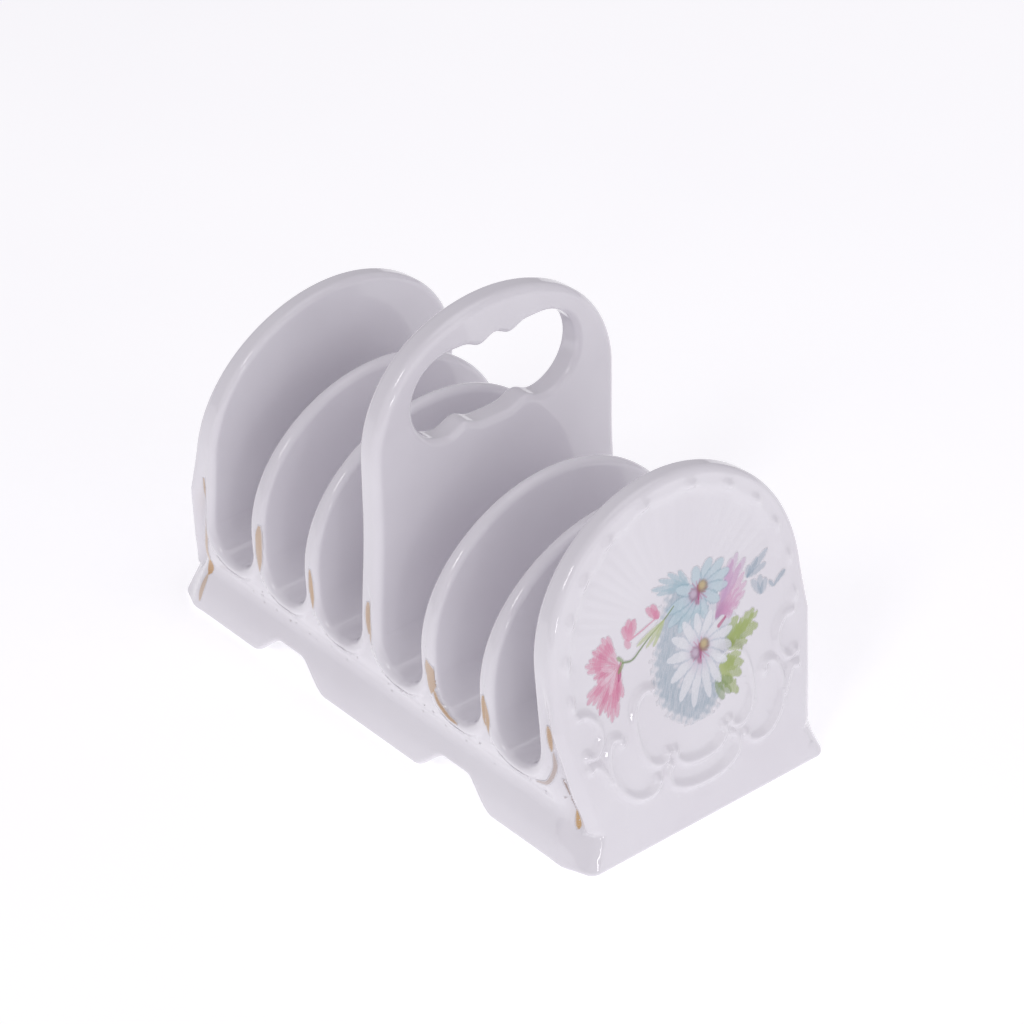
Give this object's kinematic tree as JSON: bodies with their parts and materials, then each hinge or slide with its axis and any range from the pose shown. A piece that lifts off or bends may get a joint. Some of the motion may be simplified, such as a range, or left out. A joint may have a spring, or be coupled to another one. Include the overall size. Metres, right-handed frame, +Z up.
{
  "type": "toast rack",
  "caption": "Porcelain toast rack: upright rounded panels on a hollow arched foot, round-bottomed slots between them and a tall middle panel with a scalloped finger hole.",
  "frame": {"origin": "middle of the base's length and width, on the plane that the feet rest on", "axes": "+X along the rack towards the decorated end panel, +Z up, +Y towards one long side"},
  "size_m": [0.17, 0.085, 0.1145],
  "materials": {
    "glaze": "gloss"
  },
  "bodies": {
    "root": {"base": "glaze", "back_end_panel": "glaze", "divider_1": "glaze", "divider_2": "glaze", "handle_panel": "glaze", "divider_3": "glaze", "divider_4": "glaze", "front_end_panel": "glaze"}
  },
  "joints": []
}
